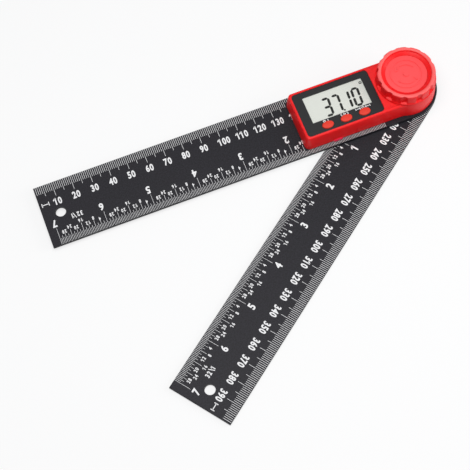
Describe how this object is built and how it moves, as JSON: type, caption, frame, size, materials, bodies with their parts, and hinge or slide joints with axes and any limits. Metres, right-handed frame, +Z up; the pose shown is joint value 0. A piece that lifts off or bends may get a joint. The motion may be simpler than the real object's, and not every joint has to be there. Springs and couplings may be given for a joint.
{
  "type": "digital angle finder",
  "caption": "Digital angle finder: two pivoting rules, red display housing on the upper one, buttons, battery tray and a round locking knob over the pivot.",
  "frame": {"origin": "on the pivot axis at the underside of the lower arm", "axes": "+Z up through the locking knob; the upper arm lies along -X; the lower arm opens towards -Y"},
  "size_m": [0.2175, 0.1521, 0.0214],
  "materials": {
    "arm_black": "fine-grained black moulded composite",
    "housing_red": "semi-gloss moulded red",
    "button_red": "semi-gloss moulded red",
    "panel_black": "satin black",
    "clear_lens": "clear",
    "display_glass": "pale grey-green",
    "white_plastic": "matte",
    "board_green": "satin",
    "chip_black": "matte",
    "elastomer": "matte",
    "adhesive_tape": "matte",
    "slip_film": "matte",
    "steel": "satin",
    "bronze": "machined",
    "brass": "machined",
    "copper": "plated"
  },
  "bodies": {
    "upper": {"upper_arm": "arm_black", "pivot_bush": "bronze", "housing": "housing_red", "display_panel": "panel_black", "panel_adhesive": "adhesive_tape", "display_window": "clear_lens", "display_glass": "display_glass", "display_holder": "white_plastic", "connector_strip": "elastomer", "circuit_board": "board_green", "encoder_stator": "copper", "controller_chip": "chip_black", "board_parts": "steel", "button_switches": "steel", "negative_contact": "steel", "positive_contact": "steel", "housing_screws": "steel", "board_screws": "steel", "thrust_washer": "steel"},
    "lower": {"lower_arm": "arm_black", "pivot_stud": "steel", "arm_washer": "slip_film", "spring_washer": "steel", "retaining_ring": "steel", "rotor_hub": "white_plastic", "encoder_rotor": "board_green"},
    "knob": {"lock_knob": "housing_red", "knob_insert": "brass", "knob_cap": "housing_red"},
    "tray": {"battery_tray": "housing_red", "coin_cell": "steel"},
    "power_button": {"power_button": "button_red"},
    "hold_button": {"hold_button": "button_red"},
    "zero_button": {"zero_button": "button_red"}
  },
  "joints": [
    {"name": "arm_pivot", "type": "hinge", "parent": "upper", "child": "lower", "pos_m": [0, 0, 0.001], "axis": [0, 0, 1], "continuous": true},
    {"name": "lock_knob_turn", "type": "hinge", "parent": "lower", "child": "knob", "pos_m": [0, 0, 0.0145], "axis": [0, 0, 1], "range_deg": [0, 180]},
    {"name": "battery_tray_slide", "type": "slide", "parent": "upper", "child": "tray", "axis": [0, -1, 0], "range_m": [0, 0.021]},
    {"name": "power_button_press", "type": "slide", "parent": "upper", "child": "power_button", "axis": [0, 0, -1], "range_m": [0, 0.0004], "stiffness_N_per_m": 2500, "springref_m": -0.0001},
    {"name": "hold_button_press", "type": "slide", "parent": "upper", "child": "hold_button", "axis": [0, 0, -1], "range_m": [0, 0.0004], "stiffness_N_per_m": 2500, "springref_m": -0.0001},
    {"name": "zero_button_press", "type": "slide", "parent": "upper", "child": "zero_button", "axis": [0, 0, -1], "range_m": [0, 0.0004], "stiffness_N_per_m": 2500, "springref_m": -0.0001}
  ]
}
